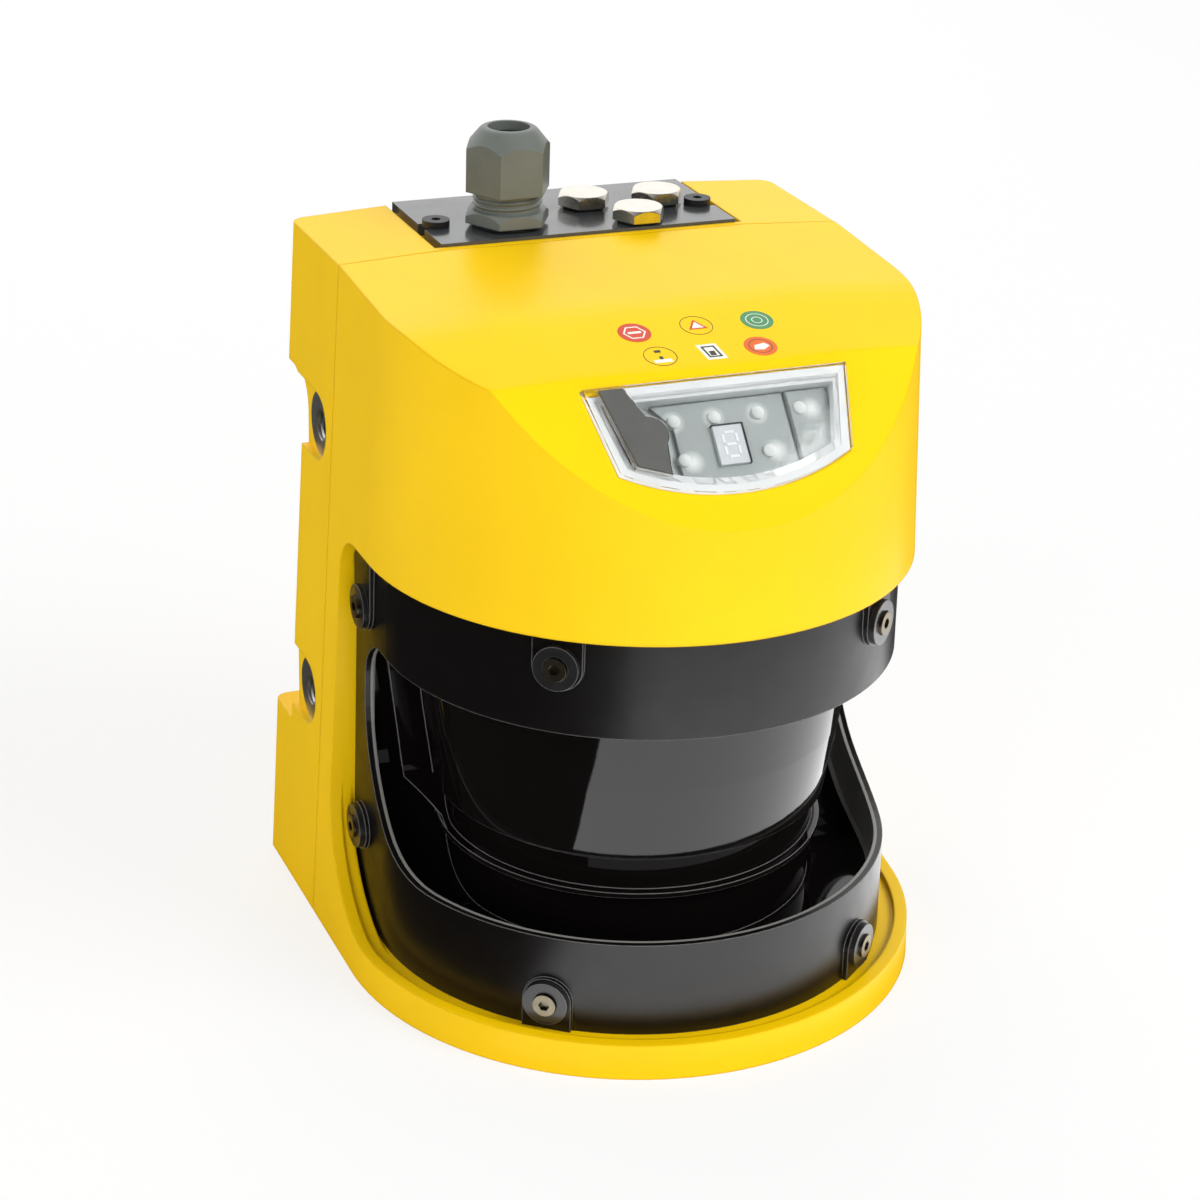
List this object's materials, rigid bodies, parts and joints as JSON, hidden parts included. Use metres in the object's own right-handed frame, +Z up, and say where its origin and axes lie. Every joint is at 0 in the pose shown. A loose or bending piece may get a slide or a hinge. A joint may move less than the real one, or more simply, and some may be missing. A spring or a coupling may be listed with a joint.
{
  "type": "safety laser scanner",
  "caption": "Compact safety laser scanner: two-part cast housing, black optics cover with a cone window over a spinning mirror, display, and a top plate with cable gland.",
  "frame": {"origin": "middle of the base, under the scan axis", "axes": "+Z up along the scan axis, -Y towards the front (the cone window and display), +X to the right seen from behind the display"},
  "size_m": [0.155, 0.155, 0.2118],
  "materials": {
    "yellow_casting": "yellow powder coat, satin",
    "black_optics": "gloss black moulding",
    "rubber": "matt black rubber",
    "zinc_steel": "zinc plated steel",
    "nickel": "satin nickel",
    "dark_washer": "black, satin",
    "brass_screw": "dark brass",
    "clear_window": "clear",
    "white_plastic": "matt white",
    "grey_panel": "matt grey",
    "grey_cap": "dark grey rubber",
    "grey_plate": "dark grey, satin",
    "gland_plastic": "grey polyamide",
    "black_plastic": "matt black",
    "circuit_board": "green solder mask",
    "lens_glass": "clear glass",
    "chassis_metal": "dark anodised",
    "motor_metal": "bare",
    "mirror_glass": "front surface mirror",
    "laser_brass": "brass tube"
  },
  "bodies": {
    "root": {"rear_housing": "yellow_casting", "front_housing": "yellow_casting", "seam_gasket": "rubber", "housing_screws": "zinc_steel", "cover_seal": "rubber", "optics_cover": "black_optics", "cover_washers": "dark_washer", "cover_screws": "brass_screw", "display_lens": "clear_window", "display_frame": "white_plastic", "display_board": "grey_panel", "status_lamps": "white_plastic", "segment_display": "white_plastic", "service_socket": "black_plastic", "plug_plate": "grey_plate", "plate_screws": "zinc_steel", "plug_body": "black_plastic", "gland_body": "gland_plastic", "gland_o_ring": "rubber", "gland_seal": "rubber", "gland_nut": "gland_plastic", "blanking_plugs": "nickel", "blanking_o_rings": "rubber", "optics_chassis": "chassis_metal", "receiver_lens": "lens_glass", "laser_module": "laser_brass", "receiver_board": "circuit_board", "board_pillars": "zinc_steel", "main_board": "circuit_board", "motor_stator": "motor_metal", "motor_screws": "zinc_steel", "motor_bearings": "zinc_steel"},
    "scan_rotor": {"motor_shaft": "zinc_steel", "encoder_disc": "black_plastic", "mirror_carrier": "black_plastic", "scan_mirror": "mirror_glass"},
    "service_cap": {"service_cap": "grey_cap"}
  },
  "joints": [
    {"name": "mirror_spin", "type": "hinge", "parent": "root", "child": "scan_rotor", "pos_m": [0, 0, 0.063], "axis": [0, 0, 1], "continuous": true},
    {"name": "cap_pull", "type": "slide", "parent": "root", "child": "service_cap", "axis": [0, -0.7314, 0.682], "range_m": [0, 0.012]}
  ]
}
